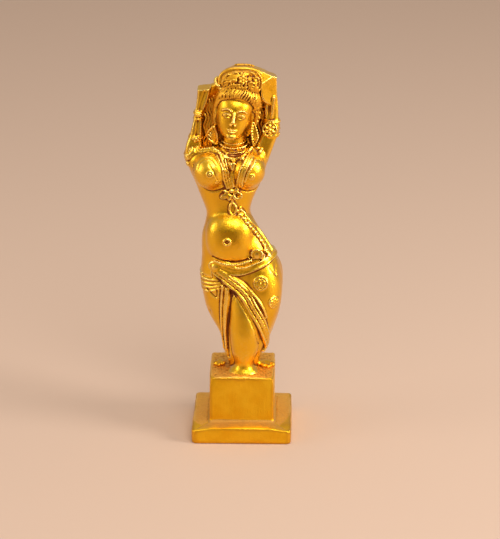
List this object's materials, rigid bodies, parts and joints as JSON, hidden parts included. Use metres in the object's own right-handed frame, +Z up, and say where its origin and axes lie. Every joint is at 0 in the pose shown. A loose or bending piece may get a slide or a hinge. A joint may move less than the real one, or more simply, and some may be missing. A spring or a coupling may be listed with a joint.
{
  "type": "cast brass lady figurine on a stepped plinth",
  "caption": "Small cast brass figurine of a standing lady with both arms raised over her head, in a draped lower garment and jewellery, on a square stepped plinth.",
  "frame": {"origin": "middle of the plinth's flat underside", "axes": "+Z up along the figure, -Y towards the side that the figure faces, +X towards the viewer's right"},
  "size_m": [0.0551, 0.0506, 0.1933],
  "materials": {
    "brass": "satin-polished cast brass with dark red-brown patina in the recesses"
  },
  "bodies": {
    "root": {"casting": "brass"}
  },
  "joints": []
}
